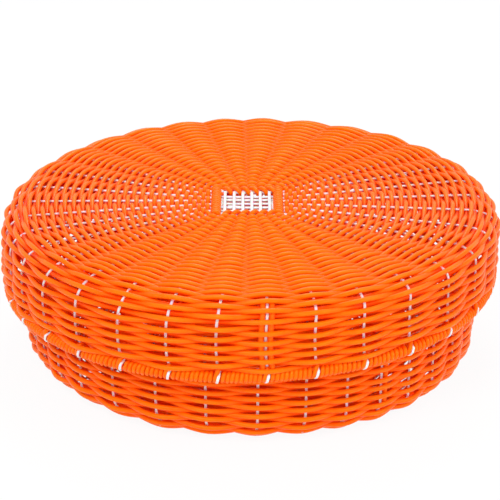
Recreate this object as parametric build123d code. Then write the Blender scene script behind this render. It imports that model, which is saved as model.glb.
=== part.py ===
"""Round basket woven of plastic cord, with a lift-off lid, for keeping tortillas warm.

Frame: millimetres, +Z up, origin at the centre of the underside, on the table.
Sixteen flat stakes cross in each half and make thirty-two spokes. The cord of the walls stands in
courses that pass outside one stake and inside the next, up the wall and round its curved edge.
"""
import os
from itertools import product
from math import cos, pi, radians, sin, sqrt

from build123d import *

os.makedirs("parts", exist_ok=True)

# ---- the two halves, over the bulges of the weave ----
lid_diameter = 250.6
overall_height = 79.1
lid_rim_height = 41.0
lid_shoulder_radius = 11.0
lid_centre_sink = 1.0
lid_rim_inset = 0.7
base_corner_radius = 10.0
base_flare = 1.0

# ---- how the lid sits on the base ----
rim_clearance = 2.9
seat_gap = 0.3

# ---- cord, stakes and hoops ----
cord = 2.1
stake_width = 1.6
stake_thickness = 0.9
stake_room = 0.12
stake_edge_room = 0.05
cord_slope = 0.25
hoop_thickness = 1.6
hoop_room = 0.1
hoop_sides = 4
roll_sides = 7
wall_lift = 0.6

# ---- the crossing at the centre, under a square of whipped cord ----
stakes_each_way = 8
along_pitch = 4.4
across_pitch = 4.0
back_stakes = 2
back_stake_gap = 0.2
layer_gap = 0.1
binding_width = 5.0
binding_shoulder = 0.55
piece_gap = 0.1
flatness = 1e-6

# ---- courses of the woven walls and of their curved edges ----
lid_wall_courses = 2
lid_shoulder_courses = 3
base_corner_courses = 2
base_wall_courses = 5

# ---- worked out from the sizes above ----
spokes = 4 * stakes_each_way
spoke_angle = 2 * pi / spokes
# The cord slopes towards the next stake, so it needs more room over a wider stake.
weave_room = stake_edge_room + cord_slope * stake_width / 2
wave = (stake_thickness + cord) / 2 + weave_room
bulge = wave + cord / 2
valley = cord / 2
rim_radius = hoop_thickness / 2 + hoop_room + cord
hook_offset = rim_radius + stake_room + stake_thickness / 2
hook_turn = pi / 4

# The outermost stakes lie under the bars of the square. Of the stakes that run across, the last
# ones are pushed together at the back, and leave a gap in front of them.
outermost = along_pitch * (stakes_each_way - 1) / 2
binding_inner_half = outermost - along_pitch / 2
binding_outer_half = binding_inner_half + binding_width
along_places = [along_pitch * index - outermost for index in range(stakes_each_way)]
front_places = [across_pitch * index - outermost for index in range(stakes_each_way - back_stakes)]
back_pitch = stake_width + back_stake_gap
back_places = [outermost - back_pitch * index for index in reversed(range(back_stakes))]
across_places = front_places + back_places

lid_radius = lid_diameter / 2 - bulge
lid_crest_radius = lid_radius - lid_shoulder_radius
lid_crest_height = overall_height - bulge
lid_shoulder_height = lid_crest_height - lid_shoulder_radius
lid_centre_height = lid_crest_height - lid_centre_sink
lid_rim_ring_radius = lid_radius - lid_rim_inset
lid_wall_bottom = lid_rim_height + hook_offset + stake_thickness / 2 + wall_lift

# The base is set down with its stakes half-way between the lid's.
base_turn = 180 / spokes

# The base's rim roll passes up inside the lid's rim roll.
base_rim_ring_radius = lid_rim_ring_radius - 2 * rim_radius - rim_clearance
base_radius = base_rim_ring_radius - base_flare
base_floor_height = bulge
base_corner_height = base_floor_height + base_corner_radius
base_crest_radius = base_radius - base_corner_radius

# The base's rim roll carries the lid, from inside its shoulder. The lid's stakes, where its weave
# reaches furthest in, meet the straight runs between the roll's corners.
inner_shoulder = (lid_shoulder_radius - bulge) * cos(pi / 4 / lid_shoulder_courses)
seat_reach = inner_shoulder - rim_radius - seat_gap
seat_step = base_rim_ring_radius * cos(spoke_angle / 2) - lid_crest_radius
base_rim_height = lid_shoulder_height + sqrt(seat_reach**2 - seat_step**2)
base_wall_top = base_rim_height - rim_radius - stake_room


def square_radius(half_side, angle):
    """Distance from the centre to the side of a square, in the given direction."""
    return half_side / max(abs(cos(angle)), abs(sin(angle)))


def patch(corners):
    """One flat face through four corners, or two triangles where they don't lie in a plane."""
    first, second, third, fourth = (Vector(*corner) for corner in corners)
    normal = (second - first).cross(third - first).normalized()
    if abs(normal.dot(fourth - first)) < flatness:
        return [Face(Wire.make_polygon([first, second, third, fourth]))]
    halves = [[first, second, third], [first, third, fourth]]
    return [Face(Wire.make_polygon(half)) for half in halves]


def skin(near, far):
    """Faces between two closed outlines with as many corners each."""
    faces = []
    for index in range(len(near)):
        faces += patch([near[index - 1], near[index], far[index], far[index - 1]])
    return faces


def lobed_loop(radius, height, normal, side):
    """A loop round the basket that bulges at each spoke and dips between spokes.

    radius is a number or a function of the angle, normal is the weave's outward normal in the
    (radius, height) plane, and side is +1 for its outer face and -1 for its inner face.
    """
    points = []
    for step in range(2 * spokes):
        angle = (step + 1) * spoke_angle / 2
        offset = side * (bulge if step % 2 == 0 else valley)
        base = radius(angle) if callable(radius) else radius
        reach = base + normal[0] * offset
        points.append((reach * cos(angle), reach * sin(angle), height + normal[1] * offset))
    return points


def course_loop(radius, height, normal, side, phase):
    """A loop round the basket that passes outside one spoke and inside the next."""
    points = []
    for spoke in range(spokes):
        angle = (spoke + 0.5) * spoke_angle
        offset = side * cord / 2 + wave * (-1) ** (spoke + phase)
        reach = radius + normal[0] * offset
        points.append((reach * cos(angle), reach * sin(angle), height + normal[1] * offset))
    return points


def round_loop(radius, height):
    """A loop of straight runs from spoke to spoke."""
    angles = [(spoke + 0.5) * spoke_angle for spoke in range(spokes)]
    return [(radius * cos(a), radius * sin(a), height) for a in angles]


def ring_solid(loops):
    """A closed ring whose cross-section has one corner on each loop, in order."""
    faces = []
    for near, far in zip(loops, loops[1:] + loops[:1]):
        faces += skin(near, far)
    return Solid(Shell(faces))


def lobed_weave(near, far):
    """Flat weave between two (radius, height, normal) stations, as one lobed shell."""
    corners = [(near, 1), (far, 1), (far, -1), (near, -1)]
    return ring_solid([lobed_loop(*place, side) for place, side in corners])


def wall_stations(bottom, top, bottom_radius, top_radius, courses):
    """Stations up a wall, one at the edge of each course."""
    stations = []
    for edge in range(courses + 1):
        share = edge / courses
        radius = bottom_radius + (top_radius - bottom_radius) * share
        stations.append((radius, bottom + (top - bottom) * share, (1, 0)))
    return stations


def arc_stations(centre_radius, centre_height, radius, start, end, courses):
    """Stations round a curved edge, with the normal pointing away from the curve's centre."""
    stations = []
    for edge in range(courses + 1):
        angle = radians(start + (end - start) * edge / courses)
        normal = (cos(angle), sin(angle))
        place = (centre_radius + radius * normal[0], centre_height + radius * normal[1])
        stations.append((*place, normal))
    return stations


def woven_courses(stations, phase):
    """Courses of cord between the stations, each outside one stake and inside the next."""
    rings = []
    for course, (low, high) in enumerate(zip(stations, stations[1:]), start=phase):
        corners = [(low, 1), (high, 1), (high, -1), (low, -1)]
        rings.append(ring_solid([course_loop(*place, side, course) for place, side in corners]))
    return rings[0].fuse(*rings[1:])


def roll_section(radius, height, size, corners):
    """Loops through the corners of a round roll's section."""
    turns = [2 * pi * (corner + 0.5) / corners for corner in range(corners)]
    return [round_loop(radius + size * cos(turn), height + size * sin(turn)) for turn in turns]


def rim_hoop(radius, height):
    return ring_solid(roll_section(radius, height, hoop_thickness / 2, hoop_sides))


def rim_whipping(radius, height):
    """Cord wound tightly round the hoop."""
    roll = ring_solid(roll_section(radius, height, rim_radius, roll_sides))
    bore = ring_solid(roll_section(radius, height, hoop_thickness / 2 + hoop_room, hoop_sides))
    return roll - bore


def centre_binding(height):
    """Cord whipped round the edge of the crossing: a square frame with rounded bars.

    The stakes pass out through one flat slot each way, so its faces join at the four corners.
    """
    half_width = binding_width / 2
    middle = binding_inner_half + half_width
    section = [
        (half_width, -binding_shoulder * bulge),
        (half_width, binding_shoulder * bulge),
        (binding_shoulder * half_width, bulge),
        (-binding_shoulder * half_width, bulge),
        (-half_width, binding_shoulder * bulge),
        (-half_width, -binding_shoulder * bulge),
        (-binding_shoulder * half_width, -bulge),
        (binding_shoulder * half_width, -bulge),
    ]
    loops = []
    for out, up in section:
        reach = middle + out
        square = [(reach, reach), (-reach, reach), (-reach, -reach), (reach, -reach)]
        loops.append([(x, y, height + up) for x, y in square])
    slot_height = 2 * stake_thickness + layer_gap + 2 * stake_room
    slot_width = 2 * (max(along_places) + stake_width / 2 + stake_room)
    slot_length = 2 * binding_outer_half + cord
    slots = [
        Pos(0, 0, height) * Box(slot_length, slot_width, slot_height),
        Pos(0, 0, height) * Box(slot_width, slot_length, slot_height),
    ]
    return ring_solid(loops) - slots


def strip(points, sides, width, thickness):
    """A flat strip through the points; each side is the direction of its width there."""
    sections = []
    last = len(points) - 1
    for index, (point, side) in enumerate(zip(points, sides)):
        here = Vector(*point)
        before = (here - Vector(*points[index - 1])).normalized() if index > 0 else None
        after = (Vector(*points[index + 1]) - here).normalized() if index < last else None
        before = before or after
        after = after or before
        across = Vector(*side).normalized() * (width / 2)
        normal = across.cross(before + after).normalized()
        mitre = normal * (thickness / 2 / sqrt((1 + before.dot(after)) / 2))
        corners = [across + mitre, mitre - across, -across - mitre, across - mitre]
        sections.append([here + corner for corner in corners])
    faces = [Face(Wire.make_polygon(sections[0])), Face(Wire.make_polygon(sections[-1]))]
    for near, far in zip(sections, sections[1:]):
        faces += skin(near, far)
    return Solid(Shell(faces))


def crossing_place(index, end, centre_height, along):
    """Where a stake leaves the square at the centre; the stakes along lie on top."""
    layer = (stake_thickness + layer_gap) / 2 * (1 if along else -1)
    sideways = (along_places if along else across_places)[index]
    out = end * binding_outer_half
    return (sideways, out, centre_height + layer) if along else (out, sideways, centre_height + layer)


def spoke_place(index, end, radius, height, along):
    """A place on a stake's spoke, at a radius and a height."""
    lean = (index - (stakes_each_way - 1) / 2) * spoke_angle
    out, sideways = end * radius * cos(lean), radius * sin(lean)
    return (sideways, out, height) if along else (out, sideways, height)


def stakes(profile, centre_height, along):
    """The stakes that run one way, each from rim to rim through the centre.

    profile holds (radius, height) places from the rim to the edge of the disc. along is true for
    the stakes that run from front to back.
    """
    straight_across = (1, 0, 0) if along else (0, -1, 0)
    solids = []
    for index in range(stakes_each_way):
        points = []
        sides = []
        for end in (1, -1):
            half = [spoke_place(index, end, *place, along) for place in profile]
            half_sides = [Vector(x, y, 0).cross(Vector(0, 0, end)) for x, y, _ in half]
            half.append(crossing_place(index, end, centre_height, along))
            half_sides.append(straight_across)
            points += half if end == 1 else half[::-1]
            sides += half_sides if end == 1 else half_sides[::-1]
        solids.append(strip(points, sides, stake_width, stake_thickness))
    return solids


def channels(crest_radius, crest_height, centre_height):
    """Straight passages for all the stakes through the flat weave."""
    solids = []
    for along, index, end in product((True, False), range(stakes_each_way), (1, -1)):
        inner = Vector(*crossing_place(index, end, centre_height, along))
        outer = Vector(*spoke_place(index, end, crest_radius, crest_height, along))
        beyond = (outer - inner).normalized() * cord
        side = beyond.cross(Vector(0, 0, 1))
        width = stake_width + 2 * stake_room
        height = stake_thickness + 2 * stake_room
        solids.append(strip([inner - beyond, outer + beyond], [side, side], width, height))
    return solids


def lid_stake_profile():
    """Round the outside of the rim roll, up the wall and over the shoulder."""
    corner = hook_offset / cos(hook_turn / 2)
    places = []
    for step in (-1.5, -0.5, 0.5, 1.5):
        out = corner * cos(step * hook_turn)
        up = corner * sin(step * hook_turn)
        places.append((lid_rim_ring_radius + out, lid_rim_height + up))
    places.append((lid_radius, lid_wall_bottom))
    for radius, height, _ in lid_shoulder_stations():
        places.append((radius, height))
    return places


def base_stake_profile():
    """From under the base's rim roll, down the wall and round the corner."""
    places = [(base_rim_ring_radius, base_wall_top)]
    for radius, height, _ in reversed(base_corner_stations()):
        places.append((radius, height))
    return places


def lid_top_height(radius):
    """The lid's top sinks a little towards its centre."""
    return lid_centre_height + lid_centre_sink * radius / lid_crest_radius


def lid_shoulder_stations():
    centre = (lid_crest_radius, lid_shoulder_height)
    return arc_stations(*centre, lid_shoulder_radius, 0, 90, lid_shoulder_courses)


def lid_wall_stations():
    ends = (lid_wall_bottom, lid_shoulder_height)
    return wall_stations(*ends, lid_radius, lid_radius, lid_wall_courses)


def base_corner_stations():
    centre = (base_crest_radius, base_corner_height)
    return arc_stations(*centre, base_corner_radius, -90, 0, base_corner_courses)


def base_wall_stations():
    ends = (base_corner_height, base_wall_top)
    return wall_stations(*ends, base_radius, base_rim_ring_radius, base_wall_courses)


def binding_station(height):
    """Where the woven rounds start, round the square binding."""
    start = binding_outer_half + piece_gap
    return (lambda angle: square_radius(start, angle), height, (0, 1))


def disc_edge(crest_radius):
    """The flat weave ends just inside the straight runs of the first course beside it."""
    return crest_radius * cos(spoke_angle / 2) - piece_gap


def lid_pieces():
    profile = lid_stake_profile()
    start = binding_station(lid_top_height(binding_outer_half))
    edge = disc_edge(lid_crest_radius)
    top = lobed_weave(start, (edge, lid_top_height(edge), (0, 1)))
    return {
        "lid_stakes_across": Compound(stakes(profile, lid_centre_height, False)),
        "lid_stakes_along": Compound(stakes(profile, lid_centre_height, True)),
        "lid_center_binding": centre_binding(lid_centre_height),
        "lid_top_weave": top - channels(lid_crest_radius, lid_crest_height, lid_centre_height),
        "lid_shoulder_weave": woven_courses(lid_shoulder_stations(), lid_wall_courses),
        "lid_wall_weave": woven_courses(lid_wall_stations(), 0),
        "lid_rim_hoop": rim_hoop(lid_rim_ring_radius, lid_rim_height),
        "lid_rim_whipping": rim_whipping(lid_rim_ring_radius, lid_rim_height),
    }


def base_pieces():
    profile = base_stake_profile()
    start = binding_station(base_floor_height)
    floor = lobed_weave(start, (disc_edge(base_crest_radius), base_floor_height, (0, 1)))
    pieces = {
        "base_stakes_across": Compound(stakes(profile, base_floor_height, False)),
        "base_stakes_along": Compound(stakes(profile, base_floor_height, True)),
        "base_center_binding": centre_binding(base_floor_height),
        "base_floor_weave": floor - channels(base_crest_radius, base_floor_height, base_floor_height),
        "base_corner_weave": woven_courses(base_corner_stations(), 0),
        "base_wall_weave": woven_courses(base_wall_stations(), base_corner_courses),
        "base_rim_hoop": rim_hoop(base_rim_ring_radius, base_rim_height),
        "base_rim_whipping": rim_whipping(base_rim_ring_radius, base_rim_height),
    }
    return {name: Rot(0, 0, base_turn) * piece for name, piece in pieces.items()}


for name, piece in {**lid_pieces(), **base_pieces()}.items():
    export_step(piece, f"parts/{name}.step")
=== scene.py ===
"""A round basket woven of orange plastic cord over white stakes, with a lift-off lid.

Lengths are in millimetres, and become metres where an object is made. Angles are in radians unless
a name ends in deg.
"""
import math

import bpy
import numpy as np
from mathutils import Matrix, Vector


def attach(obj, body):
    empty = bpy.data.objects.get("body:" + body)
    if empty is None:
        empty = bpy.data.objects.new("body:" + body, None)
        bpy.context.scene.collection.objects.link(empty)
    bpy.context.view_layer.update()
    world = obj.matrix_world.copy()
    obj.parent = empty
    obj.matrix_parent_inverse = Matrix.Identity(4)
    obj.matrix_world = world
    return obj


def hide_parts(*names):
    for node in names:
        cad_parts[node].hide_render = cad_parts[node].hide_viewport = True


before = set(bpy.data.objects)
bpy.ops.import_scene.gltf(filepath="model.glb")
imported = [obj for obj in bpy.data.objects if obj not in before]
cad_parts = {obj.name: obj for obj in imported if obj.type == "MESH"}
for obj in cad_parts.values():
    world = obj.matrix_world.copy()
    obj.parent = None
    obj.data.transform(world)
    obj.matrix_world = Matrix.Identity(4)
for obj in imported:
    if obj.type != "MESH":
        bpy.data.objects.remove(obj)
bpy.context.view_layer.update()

MM = 0.001


# ---- the white stakes of the lid ----
# Sixteen stakes, each a pair of thin white plastic strands laid side by side. Eight run across and
# eight along; they cross in the bare square at the centre, fan out over the top, turn down the wall
# and are hooked round the outside of the rim roll.

SPOKES = 32
SPOKE_ANGLE = 2 * math.pi / SPOKES
SPOKE_ANGLES = (np.arange(SPOKES) + 0.5) * SPOKE_ANGLE
STAKES_EACH_WAY = 8
MIDDLE_STAKE = (STAKES_EACH_WAY - 1) / 2
STRAND_THICKNESS = 0.9
STRAND_SPACING = 0.45
STRAND_SIDES = 8
STAKE_STEPS = 5

# The stakes leave the square a pitch apart, and from there inwards their strands are spread wider.
# In the bare window the two sets lie a layer above and below the middle, and its stakes are a little
# closer together or further apart than at the square's edge.
STAKE_PITCH = 4.45
ACROSS_LEAVE = 19.8
ALONG_LEAVE = 18.9
ACROSS_SPREAD = 2.3
ALONG_SPREAD = 1.4
WINDOW_HALF = 12.6
LAYER = 0.48
ACROSS_PLACES = [-15.6, -13.4, -9.3, -4.9, -0.1, 4.6, 8.8, 15.0]
ALONG_PLACES = [-15.6, -11.2, -6.6, -2.2, 2.3, 6.6, 11.2, 15.6]


class Wire:
    """A link of a node tree. Sums written with it add Math nodes to the tree."""

    def __init__(self, tree, socket):
        self.tree = tree
        self.socket = socket

    def maths(self, operation, *values):
        sockets = dict(enumerate(values))
        return self.tree.node("ShaderNodeMath", {"operation": operation}, sockets)

    def __add__(self, other):
        return self.maths("ADD", self, other)

    def __radd__(self, other):
        return self.maths("ADD", other, self)

    def __sub__(self, other):
        return self.maths("SUBTRACT", self, other)

    def __rsub__(self, other):
        return self.maths("SUBTRACT", other, self)

    def __mul__(self, other):
        return self.maths("MULTIPLY", self, other)

    def __rmul__(self, other):
        return self.maths("MULTIPLY", other, self)

    def __truediv__(self, other):
        return self.maths("DIVIDE", self, other)

    def __mod__(self, other):
        return self.maths("MODULO", self, other)


class Tree:
    """A node tree that adds any node from its type, its settings and its sockets' values."""

    def __init__(self, tree):
        self.tree = tree

    def node(self, kind, settings=None, sockets=None, output=0):
        node = self.tree.nodes.new(kind)
        for name, value in (settings or {}).items():
            setattr(node, name, value)
        for name, values in (sockets or {}).items():
            for value in values if isinstance(values, list) else [values]:
                if isinstance(value, Wire):
                    self.tree.links.new(value.socket, node.inputs[name])
                else:
                    node.inputs[name].default_value = value
        return Wire(self, node.outputs[output]) if node.outputs else None


class MakerTree(Tree):
    """A geometry node tree that makes cords, with named inputs for a piece's sizes."""

    def __init__(self, name, inputs):
        super().__init__(bpy.data.node_groups.new(name, "GeometryNodeTree"))
        face = self.tree.interface
        face.new_socket("Guide", in_out="INPUT", socket_type="NodeSocketGeometry")
        for label, kind in inputs.items():
            face.new_socket(label, in_out="INPUT", socket_type="NodeSocket" + kind)
        face.new_socket("Piece", in_out="OUTPUT", socket_type="NodeSocketGeometry")
        entry = self.tree.nodes.new("NodeGroupInput")
        self.given = {socket.name: Wire(self, socket) for socket in entry.outputs if socket.name}

    def vectors(self, operation, *values):
        sockets = dict(enumerate(values))
        return self.node("ShaderNodeVectorMath", {"operation": operation}, sockets)

    def scaled(self, vector, factor):
        settings = {"operation": "SCALE"}
        return self.node("ShaderNodeVectorMath", settings, {0: vector, "Scale": factor})

    def outward(self):
        settings = {"data_type": "FLOAT_VECTOR"}
        return self.node("GeometryNodeInputNamedAttribute", settings, {"Name": "outward"})

    def chance(self, seed, same=None):
        """A random vector for each point, or for each value of same."""
        sockets = {0: (-1.0, -1.0, -1.0), 1: (1.0, 1.0, 1.0), "Seed": seed}
        if same:
            sockets["ID"] = same
        return self.node("FunctionNodeRandomValue", {"data_type": "FLOAT_VECTOR"}, sockets)

    def marked(self, proud):
        """The guide lines, marked with how far out of the weave the cord lies at each point, which
        the colour reads as painted shade.
        """
        sockets = {0: self.given["Guide"], "Name": "proud", "Value": proud}
        return self.node("GeometryNodeStoreNamedAttribute", {"data_type": "FLOAT"}, sockets)

    def moved(self, lines, offset):
        return self.node("GeometryNodeSetPosition", {}, {0: lines, "Offset": offset})

    def cord(self, lines, sides):
        """A smooth round cord through each line's points, as the tree's result."""
        curve = self.node("GeometryNodeMeshToCurve", {}, {0: lines})
        curve = self.node(
            "GeometryNodeCurveSplineType", {"spline_type": "CATMULL_ROM"}, {"Curve": curve}
        )
        curve = self.node(
            "GeometryNodeSetSplineResolution", {}, {0: curve, "Resolution": self.given["Steps"]}
        )
        ring = self.node(
            "GeometryNodeCurvePrimitiveCircle",
            {},
            {"Resolution": sides, "Radius": self.given["Thickness"] * 0.5},
        )
        tube = self.node(
            "GeometryNodeCurveToMesh", {}, {"Curve": curve, "Profile Curve": ring, "Fill Caps": True}
        )
        smooth = self.node("GeometryNodeSetShadeSmooth", {}, {0: tube})
        whole = self.node("GeometryNodeRealizeInstances", {}, {0: smooth})
        finished = self.node(
            "GeometryNodeSetMaterial", {}, {0: whole, "Material": self.given["Material"]}
        )
        self.node("NodeGroupOutput", {}, {0: finished})


# A stake is a pair of strands, one each side of the guide line.
strands = MakerTree(
    "paired_strands",
    {"Thickness": "Float", "Spacing": "Float", "Steps": "Int", "Material": "Material"},
)
given = strands.given
pair = []
for hand in (-0.5, 0.5):
    aside = strands.scaled(strands.outward(), given["Spacing"] * hand)
    pair.append(strands.moved(given["Guide"], aside))
strands.cord(strands.node("GeometryNodeJoinGeometry", {}, {0: pair}), STRAND_SIDES)


def add_object(name, data):
    added = bpy.data.objects.new(name, data)
    bpy.context.collection.objects.link(added)
    return added


def make_piece(name, tree, points, outward, closed, inputs):
    """Runs a maker tree on guide lines and keeps the result as a plain mesh.

    points holds the lines, with as many points each, and outward a direction at each point.
    """
    lines, length = points.shape[:2]
    numbers = np.arange(lines * length).reshape(lines, length)
    edges = np.stack([numbers, np.roll(numbers, -1, axis=1)], axis=-1)
    if not closed:
        edges = edges[:, :-1]
    guide = bpy.data.meshes.new(name + "_guide")
    guide.from_pydata((points.reshape(-1, 3) * MM).tolist(), edges.reshape(-1, 2).tolist(), [])
    direction = guide.attributes.new("outward", "FLOAT_VECTOR", "POINT")
    direction.data.foreach_set("vector", np.ascontiguousarray(outward, np.float32).ravel())
    carrier = add_object(name + "_guide", guide)
    modifier = carrier.modifiers.new("maker", "NODES")
    modifier.node_group = tree.tree
    for item in tree.tree.interface.items_tree:
        if item.name in inputs:
            modifier[item.identifier] = inputs[item.name]
    made = carrier.evaluated_get(bpy.context.evaluated_depsgraph_get())
    mesh = bpy.data.meshes.new_from_object(made)
    bpy.data.objects.remove(carrier)
    bpy.data.meshes.remove(guide)
    return add_object(name, mesh)


def wavy(terms, angle):
    """A sum of waves round the basket, from terms of (order, cosine part, sine part)."""
    return sum(
        across * np.cos(order * angle) + along * np.sin(order * angle)
        for order, across, along in terms
    )


class Half:
    """One half of the basket, with its hand-made unevenness.

    The disc's edge is at crest_radius and crest_height, and its middle at centre_height. The spokes
    sway aside by sway_deg, and on the wall by wall_sway_deg too, as far as the heights in wall_reach
    say. Parts at a height in tilt are higher by its first value, and by its second more at the right
    and less at the left. The square at the centre is off the axis by square_shift.
    """

    def __init__(
        self,
        crest_radius,
        crest_height,
        centre_height,
        turn_deg,
        sway_deg,
        wall_sway_deg,
        wall_reach,
        tilt,
        square_shift,
    ):
        self.crest_radius = crest_radius
        self.crest_height = crest_height
        self.centre_height = centre_height
        self.turn = math.radians(turn_deg)
        self.sway_deg = sway_deg
        self.wall_sway_deg = wall_sway_deg
        self.wall_reach = wall_reach
        self.tilt = tilt
        self.square_shift = np.array([*square_shift, 0.0])

    def spoke_place(self, angle, radius, height):
        """A point on a spoke, from the spoke's angle in an even fan."""
        seen = angle + self.turn
        reach = np.interp(height, *zip(*self.wall_reach))
        sway_deg = wavy(self.sway_deg, seen) + reach * wavy(self.wall_sway_deg, seen)
        heights, raised, tilted = zip(*self.tilt)
        tilt = np.interp(height, heights, tilted) * np.cos(seen)
        height = height + np.interp(height, heights, raised) + tilt
        angle = angle + np.radians(sway_deg)
        return np.stack([radius * np.cos(angle), radius * np.sin(angle), height + 0 * angle], -1)

    def outward(self, angle, slant):
        """The way out of the weave on a spoke, slanting up from level."""
        outward = self.spoke_place(angle, math.cos(slant), self.crest_height)
        outward[..., 2] = math.sin(slant)
        return outward

    def turned(self, points):
        """The points turned to where this half sits round the basket's axis."""
        x, y, z = np.moveaxis(points, -1, 0)
        cosine, sine = math.cos(self.turn), math.sin(self.turn)
        return np.stack([x * cosine - y * sine, x * sine + y * cosine, z], -1)


def arc_places(centre, size, arc_deg, points, lean_deg=0.0):
    """Places along an arc of a half's profile. Its start leans aside round the basket."""
    radius, height = centre
    turns = np.radians(np.linspace(*arc_deg, points))
    leans = np.linspace(lean_deg, 0, points)
    return [
        (radius + size * math.cos(turn), height + size * math.sin(turn), lean)
        for turn, lean in zip(turns, leans)
    ]


def wall_places(radius, places):
    """Places of a profile on a wall, from how far out of its radius each is, and its height."""
    return [(radius + out, height, 0.0) for out, height in places]


def half_stake(half, index, end, along, profile):
    """Points of a stake from the rim to the centre, and its sideways direction at each."""
    fan = (index - MIDDLE_STAKE) * SPOKE_ANGLE
    angle = math.pi / 2 * (1 - end) + end * fan
    if along:
        angle = math.pi / 2 - angle
    points = [
        half.spoke_place(np.array(angle + math.radians(lean_deg)), radius, height)
        for radius, height, lean_deg in profile
    ]
    side = end * np.array([math.sin(angle), -math.cos(angle), 0])
    sides = [side if along else -side] * len(points)
    regular = (index - MIDDLE_STAKE) * STAKE_PITCH
    place = (ALONG_PLACES if along else ACROSS_PLACES)[index]
    leave = ALONG_LEAVE if along else ACROSS_LEAVE
    layer = LAYER if along else -LAYER
    for out, sideways, height in [(leave, regular, 0), (WINDOW_HALF, place, layer)]:
        flat = [sideways, end * out] if along else [end * out, sideways]
        points.append(np.array([*flat, half.centre_height + height]) + half.square_shift)
        sides.append(np.array([ALONG_SPREAD, 0, 0] if along else [0, ACROSS_SPREAD, 0]))
    return points, sides


def make_stakes(name, half, along, profile, material):
    """The stakes that run one way, from rim to rim."""
    lines, directions = [], []
    for index in range(STAKES_EACH_WAY):
        near, near_sides = half_stake(half, index, 1, along, profile)
        far, far_sides = half_stake(half, index, -1, along, profile)
        lines.append(near + far[::-1])
        directions.append(near_sides + far_sides[::-1])
    sizes = {
        "Thickness": STRAND_THICKNESS * MM,
        "Spacing": STRAND_SPACING * MM,
        "Steps": STAKE_STEPS,
        "Material": material,
    }
    points = half.turned(np.array(lines))
    return make_piece(name, strands, points, half.turned(np.array(directions)), False, sizes)


# The colour goes from the darker one to the plain one by the shares of the mottling, a tone that
# differs at random, and of how far out of the weave the cord lies, which is painted shade: the cord
# is darker where it passes under a stake. The mottling makes the surface rougher too, and a fine
# grain roughens all of it.
MOTTLE_SCALE = 220.0
MOTTLE_DETAIL = 3.0
MOTTLE_SHARE = 0.5
PROUD_SHADE_SHARE = 0.4
LEAST_SHARE = 0.3
MOTTLE_ROUGHNESS = 0.12
GRAIN_SCALE = 2600.0
GRAIN_DETAIL = 2.0
GRAIN_STRENGTH = 0.35
GRAIN_DEPTH = 0.03
PLASTIC_IOR = 1.47
GLOW_DEPTH = 1.5
GLOW_OF_EACH_COLOUR = (1.0, 0.2, 0.05)
WHITE = (1, 1, 1, 1)


def bare_tree(owner):
    """The emptied node tree of a material or a world."""
    owner.use_nodes = True
    owner.node_tree.nodes.clear()
    return Tree(owner.node_tree)


def plastic(name, colour, mottle_and_shade_colour, sheen_tint, roughness, glow):
    """Extruded plastic: it glows a little, has a mottled tone, and has painted shade, darker where
    it lies deep in the weave.
    """
    material = bpy.data.materials.new(name)
    tree = bare_tree(material)
    place = tree.node("ShaderNodeTexCoord", output="Object")
    mottle = tree.node(
        "ShaderNodeTexNoise",
        {},
        {"Vector": place, "Scale": MOTTLE_SCALE, "Detail": MOTTLE_DETAIL},
    )
    proud = tree.node("ShaderNodeAttribute", {"attribute_name": "proud"}, output="Fac")
    # Painted shade: the colour is darker where the cord lies under a stake, and the mottling varies
    # it at random.
    mottle_and_shade_share = mottle * MOTTLE_SHARE + proud * PROUD_SHADE_SHARE + LEAST_SHARE
    # Sockets 6 and 7 and output 2 of a Mix node are its colours.
    shade = tree.node(
        "ShaderNodeMix", {"data_type": "RGBA"}, {0: mottle_and_shade_share, 6: mottle_and_shade_colour, 7: colour}, output=2
    )
    grain = tree.node(
        "ShaderNodeTexNoise",
        {},
        {"Vector": place, "Scale": GRAIN_SCALE, "Detail": GRAIN_DETAIL},
    )
    bump = tree.node(
        "ShaderNodeBump",
        {},
        {"Strength": GRAIN_STRENGTH, "Distance": GRAIN_DEPTH * MM, "Height": grain},
    )
    surface = tree.node(
        "ShaderNodeBsdfPrincipled",
        {},
        {
            "Base Color": shade,
            "Roughness": roughness + mottle * MOTTLE_ROUGHNESS,
            "IOR": PLASTIC_IOR,
            "Specular Tint": sheen_tint,
            "Subsurface Weight": glow,
            "Subsurface Radius": GLOW_OF_EACH_COLOUR,
            "Subsurface Scale": GLOW_DEPTH * MM,
            "Normal": bump,
        },
    )
    tree.node("ShaderNodeOutputMaterial", {}, {"Surface": surface})
    return material


LID_RADIUS = 122.5
LID_SHOULDER_RADIUS = 11.0
LID_CREST_HEIGHT = 76.3
LID_RIM_RADIUS = 121.8
LID_RIM_HEIGHT = 41.0
lid = Half(
    crest_radius=LID_RADIUS - LID_SHOULDER_RADIUS,
    crest_height=LID_CREST_HEIGHT,
    centre_height=75.3,
    turn_deg=0.0,
    sway_deg=[(0, 0.6, 0), (1, -2.8, 1.5), (2, 0.9, -1.4), (4, 0.5, -1.1)],
    wall_sway_deg=[(0, -1.0, 0), (1, 0.9, 0.25), (2, -0.2, -0.5), (3, 0.5, 0.35)],
    wall_reach=[(44.0, 0), (50.0, 1), (64.0, 0.8), (LID_CREST_HEIGHT, 0)],
    tilt=[(LID_RIM_HEIGHT, 0.0, 2.8), (52.0, 0.5, 3.3), (64.0, 0.5, 3.3), (LID_CREST_HEIGHT, 0, 0)],
    square_shift=(-1.4, 0.0),
)
LID_SHOULDER = (lid.crest_radius, LID_CREST_HEIGHT - LID_SHOULDER_RADIUS)

# A stake's end is hooked round the outside of the rim roll, leaning a little aside.
HOOK_OFFSET = 2.75
HOOK_ARC_DEG = (-80, 30)
HOOK_POINTS = 6
HOOK_LEAN_DEG = -0.6

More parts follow.
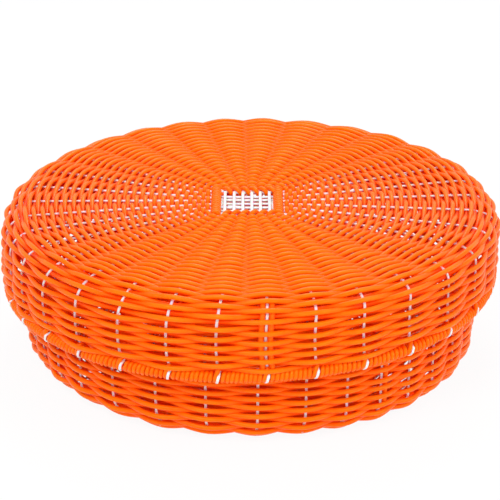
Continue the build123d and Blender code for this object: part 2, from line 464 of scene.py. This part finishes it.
# From there the stake runs up a little inside the middle of the weave, lies deeper under the rounds
# at the top of the shoulder, and is nearly back in the middle of the weave a little further in.
STAKE_DEPTH = 0.3
CREST_DEPTH = 0.8
LID_STAKE_PLACES = [(-1.3, 44.0), (-STAKE_DEPTH, 47.5), (-STAKE_DEPTH, 56.15)]
LOWER_BEND_DEG = (0, 40)
UPPER_BEND_DEG = (62, 90)
BEND_POINTS = 3
TOP_GAP = 9.0
TOP_DEPTH = 0.2
LID_RIM = (LID_RIM_RADIUS, LID_RIM_HEIGHT)
lid_stake_profile = [
    *arc_places(LID_RIM, HOOK_OFFSET, HOOK_ARC_DEG, HOOK_POINTS, HOOK_LEAN_DEG),
    *wall_places(LID_RADIUS, LID_STAKE_PLACES),
    *arc_places(LID_SHOULDER, LID_SHOULDER_RADIUS - STAKE_DEPTH, LOWER_BEND_DEG, BEND_POINTS),
    *arc_places(LID_SHOULDER, LID_SHOULDER_RADIUS - CREST_DEPTH, UPPER_BEND_DEG, BEND_POINTS),
    (lid.crest_radius - TOP_GAP, lid.crest_height - TOP_DEPTH, 0.0),
]
stake_white = plastic(
    "stake_white",
    colour=(0.85, 0.84, 0.85, 1),
    mottle_and_shade_colour=(0.82, 0.80, 0.81, 1),
    sheen_tint=WHITE,
    roughness=0.40,
    glow=0.3,
)
for node, along in [("lid_stakes_across", False), ("lid_stakes_along", True)]:
    piece = make_stakes(node + "_strands", lid, along, lid_stake_profile, stake_white)
    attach(piece, "lid")
    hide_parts(node)


# ---- the woven rounds of the lid ----
# Rounds of round orange plastic cord, each passing over one stake and under the next, and the next
# round the other way about. They start square round the centre and end on the wall, just above the
# rim roll. Half-way down the wall they lie a little looser.

CORD = 2.42
DISC_CORD = 2.32
CORD_SIDES = 10
DISC_STEPS = 6
WALL_STEPS = 8
WAVE = 1.75
LOW_WAVE = 0.8
ROUNDS_SEED = 11
LID_DISC_ROWS = 41
LID_DISC_UNEVENNESS = 0.16
LID_WALL_ROWS = 17
LID_WALL_UNEVENNESS = 0.4
LID_WALL_START = 1.0
LID_WALL_LENGTH = 37.7
LID_WALL_LOOSER = 0.24
LID_LAST_ROUND_DROP = 0.3
LOOSEST_SHARE = 0.45
LOOSE_REACH = 0.2

# Odd crossings go under, and each round starts the other way from the last. Each point is marked
# with whether it goes over or under, and the colour reads that as painted shade, darker under.
rounds = MakerTree(
    "woven_rounds",
    {
        "Thickness": "Float",
        "Wave": "Float",
        "Unevenness": "Float",
        "First row": "Int",
        "Seed": "Int",
        "Steps": "Int",
        "Material": "Material",
    },
)
given = rounds.given
index = rounds.node("GeometryNodeInputIndex")
row = index.maths("FLOOR", index / SPOKES) + given["First row"]
over = ((index + row) % 2.0) * 2.0 - 1.0
away = rounds.scaled(rounds.outward(), over * given["Wave"])
stray = rounds.scaled(rounds.chance(given["Seed"]), given["Unevenness"])
woven = rounds.moved(rounds.marked(over), rounds.vectors("ADD", away, stray))
rounds.cord(woven, CORD_SIDES)


def quarter_turn(quarter):
    """A matrix that turns points round the basket's axis by so many quarters."""
    cosine = round(math.cos(quarter * math.pi / 2))
    sine = round(math.sin(quarter * math.pi / 2))
    return np.array([[cosine, sine, 0], [-sine, cosine, 0], [0, 0, 1]])


def square_places(half):
    """Where the spokes leave the square at the centre, in the order of their angles."""
    regular = (np.arange(STAKES_EACH_WAY) - MIDDLE_STAKE) * STAKE_PITCH
    height = np.full(STAKES_EACH_WAY, half.centre_height)
    sides = []
    for quarter, leave in enumerate([ACROSS_LEAVE, ALONG_LEAVE] * 2):
        side = np.stack([np.full(STAKES_EACH_WAY, leave), regular, height], -1)
        sides.append(side @ quarter_turn(quarter))
    return np.roll(np.concatenate(sides), -STAKES_EACH_WAY // 2, axis=0) + half.square_shift


def disc_crossings(half, rows, end_gap):
    """Where the rounds of the disc cross the spokes, and the way up at each crossing.

    The last round is end_gap inside the disc's edge. The waves are lower near the square, where the
    crossings are close together.
    """
    inner = square_places(half)
    outer = half.spoke_place(SPOKE_ANGLES, half.crest_radius - end_gap, half.crest_height)
    shares = np.linspace(0, 1, rows)[:, None, None]
    points = inner * (1 - shares) + outer * shares
    upward = np.zeros_like(points)
    upward[..., 2] = np.linspace(LOW_WAVE, 1, rows)[:, None]
    return points, upward


def wall_crossings(
    half, curve_radius, side, start, length, rows, looser=0.0, flare=0.0, last_drop=0.0
):
    """Where the rounds of the curved edge and the wall cross the spokes, and the way outward.

    side is 1 where the disc is above the wall, and -1 where it is below. start and length run from
    the disc's edge, round the curve and along the wall. The wall leans out by flare at its end, and
    the rows half-way down are further apart by the part looser. The last row is further on by
    last_drop. The waves are lower on the curved edge.
    """
    shares = np.linspace(0, 1, rows - 1)
    steps = 1 + looser * np.exp(-(((shares - LOOSEST_SHARE) / LOOSE_REACH) ** 2))
    runs = start + (length - start) * np.concatenate([[0], np.cumsum(steps)]) / steps.sum()
    runs[-1] += last_drop
    turn_length = curve_radius * math.pi / 2
    points, outward = [], []
    for run in runs:
        slant = max(0.0, 1 - run / turn_length) * math.pi / 2
        down = max(0.0, run - turn_length)
        lean_out = flare * down / (length - turn_length)
        radius = half.crest_radius + curve_radius * math.cos(slant) + lean_out
        height = half.crest_height - side * (curve_radius * (1 - math.sin(slant)) + down)
        points.append(half.spoke_place(SPOKE_ANGLES, radius, height))
        low = np.interp(run, [0, turn_length], [LOW_WAVE, 1])
        outward.append(low * half.outward(SPOKE_ANGLES, side * slant))
    return np.array(points), np.array(outward)


def make_rounds(name, half, crossings, cord, first_row, steps, unevenness, material):
    """Closed rounds of cord through their crossings with the spokes."""
    points, outward = crossings
    sizes = {
        "Thickness": cord * MM,
        "Wave": WAVE * MM,
        "Unevenness": unevenness * MM,
        "First row": first_row,
        "Seed": ROUNDS_SEED + first_row,
        "Steps": steps,
        "Material": material,
    }
    return make_piece(name, rounds, half.turned(points), half.turned(outward), True, sizes)


# The orange cord's darker colour is partly a random mottled tone and partly painted shade where the
# cord lies under a stake.
cord_orange = plastic(
    "cord_orange",
    colour=(1.0, 0.176, 0.0006, 1),
    mottle_and_shade_colour=(1.0, 0.062, 0.0002, 1),
    sheen_tint=(1.0, 0.45, 0.15, 1),
    roughness=0.26,
    glow=0.15,
)
piece = make_rounds(
    "lid_top_rounds",
    lid,
    disc_crossings(lid, LID_DISC_ROWS, LID_WALL_START),
    DISC_CORD,
    first_row=0,
    steps=DISC_STEPS,
    unevenness=LID_DISC_UNEVENNESS,
    material=cord_orange,
)
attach(piece, "lid")
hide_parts("lid_top_weave")

crossings = wall_crossings(
    lid,
    LID_SHOULDER_RADIUS,
    side=1,
    start=LID_WALL_START,
    length=LID_WALL_LENGTH,
    rows=LID_WALL_ROWS,
    looser=LID_WALL_LOOSER,
    last_drop=LID_LAST_ROUND_DROP,
)
piece = make_rounds(
    "lid_wall_rounds",
    lid,
    crossings,
    CORD,
    first_row=LID_DISC_ROWS,
    steps=WALL_STEPS,
    unevenness=LID_WALL_UNEVENNESS,
    material=cord_orange,
)
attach(piece, "lid")
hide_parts("lid_wall_weave", "lid_shoulder_weave")


# ---- the cord's ends in the lid's wall ----
# The weaving cord starts and ends beside a stake at the front. Both ends are pushed down along the
# stake, under the same rounds as the stake itself.

FRONT_SPOKE = 24
LID_ENDS_ASIDE_DEG = (-1.1, 1.1)
LID_END_BEND_DEG = (62, 0)
LID_END_BEND_POINTS = 4
LID_END_PLACES = [(0.2, 56.0), (0.0, 45.5)]
END_STEPS = 6

ends = MakerTree("cord_ends", {"Thickness": "Float", "Steps": "Int", "Material": "Material"})
ends.cord(ends.given["Guide"], CORD_SIDES)


def make_ends(name, half, spoke, asides_deg, profile, material):
    """Ends of cord along a spoke, each aside of it by its own angle."""
    lines = [
        [
            half.spoke_place(SPOKE_ANGLES[spoke] + math.radians(aside_deg), radius, height)
            for radius, height, _ in profile
        ]
        for aside_deg in asides_deg
    ]
    points = half.turned(np.array(lines))
    sizes = {"Thickness": CORD * MM, "Steps": END_STEPS, "Material": material}
    return make_piece(name, ends, points, np.zeros_like(points), False, sizes)


lid_end_profile = [
    *arc_places(LID_SHOULDER, LID_SHOULDER_RADIUS, LID_END_BEND_DEG, LID_END_BEND_POINTS),
    *wall_places(LID_RADIUS, LID_END_PLACES),
]
piece = make_ends(
    "lid_cord_ends", lid, FRONT_SPOKE, LID_ENDS_ASIDE_DEG, lid_end_profile, cord_orange
)
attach(piece, "lid")


# ---- the rim roll of the lid ----
# A plain hoop, whipped with the same orange cord. Ten turns lie between one stake end and the
# next. The last of them is drawn up into the weave, and the white ends lie in the gaps.

WRAP_CORD = 2.1
WRAP_OFFSET = 1.95
WRAP_UNEVENNESS = 0.1
# The wraps are marked as lying mostly out of the weave, which gives them a light, even painted
# shade.
WRAP_PROUD_SHADE = 0.6
WRAP_SEED = 3
WRAPS_BETWEEN = 10
WRAP_POINTS = 12
WRAP_STEPS = 1
STAKE_GAP = 0.07
LAST_WRAP_RISE = 2.2
LAST_WRAP_OUT = 0.5
LAST_WRAP_LEAN_DEG = 0.5

# Each point of the guide is turned a little further round the guide line than the last. The first
# point is on the side away from the outward direction.
whipping = MakerTree(
    "whipped_cord",
    {
        "Thickness": "Float",
        "Half width": "Float",
        "Half height": "Float",
        "Unevenness": "Float",
        "Points a turn": "Int",
        "Steps": "Int",
        "Material": "Material",
    },
)
given = whipping.given
turns = whipping.node("GeometryNodeInputIndex") / given["Points a turn"]
turn = (turns + 0.5) * (2 * math.pi)
out = whipping.scaled(whipping.outward(), turn.maths("COSINE", turn) * given["Half width"])
up = whipping.node(
    "ShaderNodeCombineXYZ", {}, {"Z": turn.maths("SINE", turn) * given["Half height"]}
)
chance = whipping.chance(WRAP_SEED, turns.maths("FLOOR", turns))
stray = whipping.scaled(chance, given["Unevenness"])
offset = whipping.vectors("ADD", whipping.vectors("ADD", out, up), stray)
whipping.cord(whipping.moved(whipping.marked(WRAP_PROUD_SHADE), offset), CORD_SIDES)


def rim_guide(half, radius, height, gap, rise):
    """A ring with as many points between each two spokes, clear of the spokes by the gap.

    The last turn before each spoke is drawn up by rise, and leans over the spoke.
    """
    count = WRAPS_BETWEEN * WRAP_POINTS
    shares = gap / 2 + (1 - gap) * np.arange(count) / count
    top = np.clip(-np.sin(2 * math.pi * np.arange(count) / WRAP_POINTS), 0, None)
    drawn = top * (np.arange(count) >= count - WRAP_POINTS)
    lean = math.radians(LAST_WRAP_LEAN_DEG) * drawn
    angles = (SPOKE_ANGLES[:, None] + shares * SPOKE_ANGLE + lean).ravel()
    drawn = np.tile(drawn, SPOKES) * (rise > 0)
    points = half.spoke_place(angles, radius + LAST_WRAP_OUT * drawn, height)
    points[:, 2] += rise * drawn
    return half.turned(points)[None], half.turned(half.outward(angles, 0.0))[None]


def make_rim(name, half, radius, height, gap, rise, material):
    """The cord wound round a rim's hoop, all the way round."""
    points, outward = rim_guide(half, radius, height, gap, rise)
    sizes = {
        "Thickness": WRAP_CORD * MM,
        "Half width": WRAP_OFFSET * MM,
        "Half height": WRAP_OFFSET * MM,
        "Unevenness": WRAP_UNEVENNESS * MM,
        "Points a turn": WRAP_POINTS,
        "Steps": WRAP_STEPS,
        "Material": material,
    }
    return make_piece(name, whipping, points, outward, True, sizes)


piece = make_rim(
    "lid_rim_wraps", lid, LID_RIM_RADIUS, LID_RIM_HEIGHT, STAKE_GAP, LAST_WRAP_RISE, cord_orange
)
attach(piece, "lid")
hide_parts("lid_rim_whipping")


# ---- the whipped square at the centre of the lid ----
# Orange cord wound round the outermost stakes of the crossing. It is wound tightly on the left and
# right, and with one turn between each two stakes at the front and back.

BAR_HALF_HEIGHT = 1.6
BAR_UNEVENNESS = 0.12
BAR_POINTS = 16
BAR_STEPS = 2
TIGHT_BAR_REACH = 16.4
OPEN_BAR_REACH = 3 * STAKE_PITCH
OPEN_BAR_LEAN = -0.8

# For the right, back, left and front bar: its middle and half width, its turns, how far they reach
# each way, how much more they lean, and which way they are wound.
BARS = [
    (15.6, 1.5, 14, TIGHT_BAR_REACH, 0.0, 1),
    (14.8, 2.1, 6, OPEN_BAR_REACH, OPEN_BAR_LEAN, -1),
    (15.6, 1.5, 14, TIGHT_BAR_REACH, 0.0, 1),
    (15.6, 1.6, 6, OPEN_BAR_REACH, OPEN_BAR_LEAN, 1),
]


def make_square(name, half, material):
    """The four bars: two wound tightly, and two with one turn between each two stakes."""
    pieces = []
    for quarter, (middle, half_width, turns, reach, lean, way) in enumerate(BARS):
        count = turns * BAR_POINTS + 1
        run = np.linspace(-reach, reach, count)
        run = way * (run - lean * np.cos(2 * math.pi * np.arange(count) / BAR_POINTS))
        points = np.stack([np.full(count, middle), run, np.full(count, half.centre_height)], -1)
        points = points @ quarter_turn(quarter) + half.square_shift
        outward = np.tile([1.0, 0, 0], (count, 1)) @ quarter_turn(quarter)
        sizes = {
            "Thickness": DISC_CORD * MM,
            "Half width": half_width * MM,
            "Half height": BAR_HALF_HEIGHT * MM,
            "Unevenness": BAR_UNEVENNESS * MM,
            "Points a turn": BAR_POINTS,
            "Steps": BAR_STEPS,
            "Material": material,
        }
        points = half.turned(points)[None]
        outward = half.turned(outward)[None]
        pieces.append(make_piece(f"{name}_{quarter}", whipping, points, outward, False, sizes))
    return pieces


for piece in make_square("lid_centre_wraps", lid, cord_orange):
    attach(piece, "lid")
    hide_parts("lid_center_binding")


# ---- the white stakes of the base ----
# The same pairs of white plastic strands, the other way up. They cross in the middle of the floor,
# turn up the wall half a spoke round from the lid's, and end in the rim roll inside the lid.

BASE_RADIUS = 111.9
BASE_CORNER_RADIUS = 10.0
BASE_FLOOR_HEIGHT = 3.05
BASE_FLARE = 1.0
BASE_RIM_RADIUS = BASE_RADIUS + BASE_FLARE
BASE_RIM_HEIGHT = 69.84
base = Half(
    crest_radius=BASE_RADIUS - BASE_CORNER_RADIUS,
    crest_height=BASE_FLOOR_HEIGHT,
    centre_height=BASE_FLOOR_HEIGHT,
    turn_deg=180 / SPOKES,
    sway_deg=[(0, 0.6, 0), (1, -1.3, 0.5), (2, 1.4, 1.1), (3, -2.0, 2.9)],
    wall_sway_deg=[(0, 0.04, 0), (1, -0.66, 0.06), (2, 0.04, 0.14), (3, -0.88, 0.3)],
    wall_reach=[(2.8, 0), (16.0, 1)],
    tilt=[(BASE_FLOOR_HEIGHT, 0.6, -0.6), (16.0, 1.2, -2.6), (45.0, 1.2, -2.6), (66.0, 0, 0)],
    square_shift=(0.0, 0.0),
)
BASE_STAKE_PLACES = [(BASE_FLARE, 67.24), (-1.0, 58.0), (0.2, 45.0), (-0.1, 28.0)]
BASE_BEND = (base.crest_radius, 12.8)
BASE_BEND_DEG = (0, -90)
BASE_BEND_POINTS = 5
base_stake_profile = [
    *wall_places(BASE_RADIUS, BASE_STAKE_PLACES),
    *arc_places(BASE_BEND, BASE_CORNER_RADIUS - STAKE_DEPTH, BASE_BEND_DEG, BASE_BEND_POINTS),
]
for node, along in [("base_stakes_across", False), ("base_stakes_along", True)]:
    piece = make_stakes(node + "_strands", base, along, base_stake_profile, stake_white)
    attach(piece, "base")
    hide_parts(node)


# ---- the woven rounds of the base ----
# The same orange cord, woven the same way: a flat floor, a curved edge and an upright wall that
# leans out a little and ends just under its rim roll.

BASE_FLOOR_ROWS = 39
BASE_FLOOR_UNEVENNESS = 0.12
BASE_WALL_ROWS = 31
BASE_WALL_UNEVENNESS = 0.35
BASE_WALL_START = 1.4
BASE_WALL_LENGTH = 69.4

piece = make_rounds(
    "base_floor_rounds",
    base,
    disc_crossings(base, BASE_FLOOR_ROWS, 0.0),
    DISC_CORD,
    first_row=0,
    steps=DISC_STEPS,
    unevenness=BASE_FLOOR_UNEVENNESS,
    material=cord_orange,
)
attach(piece, "base")
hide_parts("base_floor_weave")

crossings = wall_crossings(
    base,
    BASE_CORNER_RADIUS,
    side=-1,
    start=BASE_WALL_START,
    length=BASE_WALL_LENGTH,
    rows=BASE_WALL_ROWS,
    flare=BASE_FLARE,
)
piece = make_rounds(
    "base_wall_rounds",
    base,
    crossings,
    CORD,
    first_row=BASE_FLOOR_ROWS,
    steps=WALL_STEPS,
    unevenness=BASE_WALL_UNEVENNESS,
    material=cord_orange,
)
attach(piece, "base")
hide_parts("base_wall_weave", "base_corner_weave")


# ---- the cord's end in the base's wall ----
# One end of the base's weaving cord. It is pushed down beside a stake to the right of the front,
# under the same rounds as the stake.

BASE_END_SPOKE = 26
BASE_ENDS_ASIDE_DEG = (1.3,)
BASE_END_PLACES = [(0.6, 46.0), (0.4, 30.0), (0.0, 13.5)]

base_end_profile = wall_places(BASE_RADIUS, BASE_END_PLACES)
piece = make_ends(
    "base_cord_end", base, BASE_END_SPOKE, BASE_ENDS_ASIDE_DEG, base_end_profile, cord_orange
)
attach(piece, "base")


# ---- the rim roll and the whipped square of the base ----
# Orange cord wound round the base's hoop, evenly and without gaps, because no stake comes over it,
# and round the outermost stakes of the floor's crossing, as on the lid.

piece = make_rim("base_rim_wraps", base, BASE_RIM_RADIUS, BASE_RIM_HEIGHT, 0.0, 0.0, cord_orange)
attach(piece, "base")
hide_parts("base_rim_whipping")

for piece in make_square("base_centre_wraps", base, cord_orange):
    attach(piece, "base")
    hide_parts("base_center_binding")


# ---- the hoops inside the rims ----
# Plain rings of stiff orange plastic. The whipping holds them, and they are seen only as slivers
# between its turns.

hoop_plastic = plastic(
    "hoop_plastic",
    colour=(0.85, 0.30, 0.06, 1),
    mottle_and_shade_colour=(0.70, 0.22, 0.04, 1),
    sheen_tint=WHITE,
    roughness=0.5,
    glow=0.0,
)
for node in ("lid_rim_hoop", "base_rim_hoop"):
    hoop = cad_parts[node]
    hoop.data.materials.clear()
    hoop.data.materials.append(hoop_plastic)


# ---- the camera ----
# It looks down on the basket from the front, at a point on the axis a little above the middle of
# the basket's height.

CAMERA_DISTANCE = 956.0
CAMERA_ELEVATION_DEG = 24.1
LOOK_HEIGHT = 49.3
LENS = 135.4
SENSOR_WIDTH = 36.0
CLIP_START = 10.0

camera_data = bpy.data.cameras.new("camera")
camera_data.lens = LENS
camera_data.sensor_width = SENSOR_WIDTH
camera_data.clip_start = CLIP_START * MM
camera = add_object("camera", camera_data)
lift = math.radians(CAMERA_ELEVATION_DEG)
camera.location = Vector(
    (0, -CAMERA_DISTANCE * math.cos(lift), LOOK_HEIGHT + CAMERA_DISTANCE * math.sin(lift))
) * MM
camera.rotation_euler = (math.pi / 2 - lift, 0, 0)
bpy.context.scene.camera = camera


# ---- the floor ----
# A wide card of plain matt white. The camera and mirrored rays see it nearly pure white, with a
# little of the basket's shade left in it.

FLOOR_HALF = 6000.0
FLOOR_COLOUR = (0.9, 0.9, 0.9, 1)
FLOOR_GLOW_SEEN = 0.93

floor_mesh = bpy.data.meshes.new("floor")
floor_mesh.from_pydata(
    [(x * FLOOR_HALF * MM, y * FLOOR_HALF * MM, 0) for x, y in [(-1, -1), (1, -1), (1, 1), (-1, 1)]],
    [],
    [(0, 1, 2, 3)],
)
floor = add_object("floor", floor_mesh)
floor_material = bpy.data.materials.new("floor_white")
tree = bare_tree(floor_material)
card = tree.node("ShaderNodeBsdfDiffuse", {}, {"Color": FLOOR_COLOUR})
glow = tree.node("ShaderNodeEmission", {}, {"Color": WHITE, "Strength": 1.0})
seen = tree.node("ShaderNodeLightPath", output="Is Camera Ray")
mirrored = tree.node("ShaderNodeLightPath", output="Is Glossy Ray")
through = tree.node("ShaderNodeLightPath", output="Is Transmission Ray")
shown = seen.maths("MAXIMUM", seen, mirrored.maths("MAXIMUM", mirrored, through))
mixed = tree.node("ShaderNodeMixShader", {}, {0: shown * FLOOR_GLOW_SEEN, 1: card, 2: glow})
tree.node("ShaderNodeOutputMaterial", {}, {"Surface": mixed})
floor_mesh.materials.append(floor_material)


# ---- the studio's light ----
# Soft white light from all round, which the camera sees as white, and four soft square lamps aimed
# at the basket. A lamp's power is in watts.

ROOM_LIGHT = 0.68
AIM_HEIGHT = 40.0
LAMPS = [
    ("key", (-450, -800, 1100), 500, 7.4),
    ("fill", (900, -500, 700), 600, 3.8),
    ("front", (100, -1500, 350), 1000, 2.6),
    ("back", (100, 800, 1200), 500, 6.4),
]

world = bpy.data.worlds.new("studio")
bpy.context.scene.world = world
tree = bare_tree(world)
seen = tree.node("ShaderNodeLightPath", output="Is Camera Ray")
soft = tree.node("ShaderNodeBackground", {}, {"Color": WHITE, "Strength": ROOM_LIGHT})
white = tree.node("ShaderNodeBackground", {}, {"Color": WHITE, "Strength": 1.0})
mixed = tree.node("ShaderNodeMixShader", {}, {0: seen, 1: soft, 2: white})
tree.node("ShaderNodeOutputWorld", {}, {"Surface": mixed})

for name, place, size, power in LAMPS:
    lamp = bpy.data.lights.new(name, "AREA")
    lamp.size = size * MM
    lamp.energy = power
    holder = add_object(name, lamp)
    holder.location = Vector(place) * MM
    aim = Vector((0, 0, AIM_HEIGHT)) - Vector(place)
    holder.rotation_euler = aim.to_track_quat("-Z", "Y").to_euler()

# The deep glow in the gaps of the weave is light passed on many times from cord to cord.
bpy.context.scene.cycles.diffuse_bounces = 12
bpy.context.scene.cycles.max_bounces = 14
bpy.context.scene.view_settings.view_transform = "Standard"
